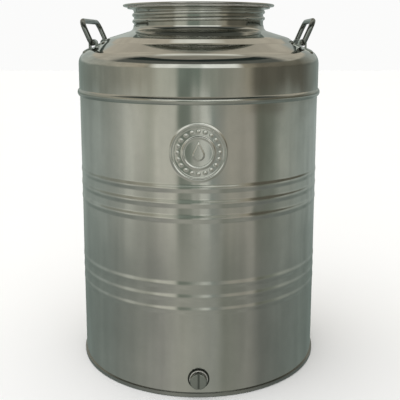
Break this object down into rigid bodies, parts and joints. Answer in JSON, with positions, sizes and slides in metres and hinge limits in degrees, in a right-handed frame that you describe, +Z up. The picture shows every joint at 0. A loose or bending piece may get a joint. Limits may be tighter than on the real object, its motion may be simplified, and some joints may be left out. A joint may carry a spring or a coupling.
{
  "type": "bulk milk tank",
  "caption": "Upright cylindrical steel milk drum with a sloping shoulder, a wide screw-in lid, folding rod handles and a plugged outlet near its foot.",
  "frame": {"origin": "centre of the face the drum stands on", "axes": "+Z up along the drum's axis, -Y towards the outlet and medallion, handles at -X and +X"},
  "size_m": [0.3758, 0.3828, 0.5505],
  "materials": {
    "polished_body": "bright rolled stainless steel",
    "polished_shoulder": "bright pressed stainless steel",
    "polished_neck": "bright rolled stainless steel",
    "base_steel": "dull rolled stainless steel",
    "hoop_steel": "bright rolled stainless steel",
    "lid_steel": "bright pressed stainless steel",
    "wire_steel": "drawn steel wire",
    "fitting_steel": "turned stainless steel",
    "rod_steel": "drawn stainless rod",
    "clip_steel": "pressed stainless steel",
    "gasket_rubber": "food-grade silicone"
  },
  "bodies": {
    "tank": {"body_wall": "polished_body", "base_ring": "base_steel", "base_pan": "base_steel", "shoulder_shell": "polished_shoulder", "joint_hoop": "hoop_steel", "neck_collar": "polished_neck", "outlet_socket": "fitting_steel", "clip_left_front": "clip_steel", "clip_left_rear": "clip_steel", "clip_right_front": "clip_steel", "clip_right_rear": "clip_steel"},
    "lid_seal": {"lid_gasket": "gasket_rubber"},
    "lid": {"lid_shell": "lid_steel", "lid_rim_wire": "wire_steel", "lid_grip": "lid_steel"},
    "outlet_washer": {"outlet_seal": "gasket_rubber"},
    "plug": {"outlet_plug": "fitting_steel"},
    "left_handle": {"handle_left": "rod_steel"},
    "right_handle": {"handle_right": "rod_steel"}
  },
  "joints": [
    {"name": "lid_lift", "type": "slide", "parent": "tank", "child": "lid_seal", "axis": [0, 0, 1], "range_m": [0, 0.0335]},
    {"name": "lid_turn", "type": "hinge", "parent": "lid_seal", "child": "lid", "pos_m": [0, 0, 0.54706], "axis": [0, 0, 1], "range_deg": [0, 1260]},
    {"name": "plug_travel", "type": "slide", "parent": "tank", "child": "outlet_washer", "axis": [0, -1, 0], "range_m": [0, 0.0128]},
    {"name": "plug_turn", "type": "hinge", "parent": "outlet_washer", "child": "plug", "pos_m": [0, -0.1842, 0.028], "axis": [0, -1, 0], "range_deg": [0, 2520]},
    {"name": "handle_left_swing", "type": "hinge", "parent": "tank", "child": "left_handle", "pos_m": [-0.15581, 0.00762, 0.49262], "axis": [-0.0489, -0.9988, 0], "range_deg": [-84, 90]},
    {"name": "handle_right_swing", "type": "hinge", "parent": "tank", "child": "right_handle", "pos_m": [0.15581, -0.00762, 0.49262], "axis": [0.0489, 0.9988, 0], "range_deg": [-84, 90]}
  ],
  "couplings": [
    {"joint": "lid_lift", "follows": "lid_turn", "m_per_rad": 0.001512},
    {"joint": "plug_travel", "follows": "plug_turn", "m_per_rad": 0.00028875}
  ]
}
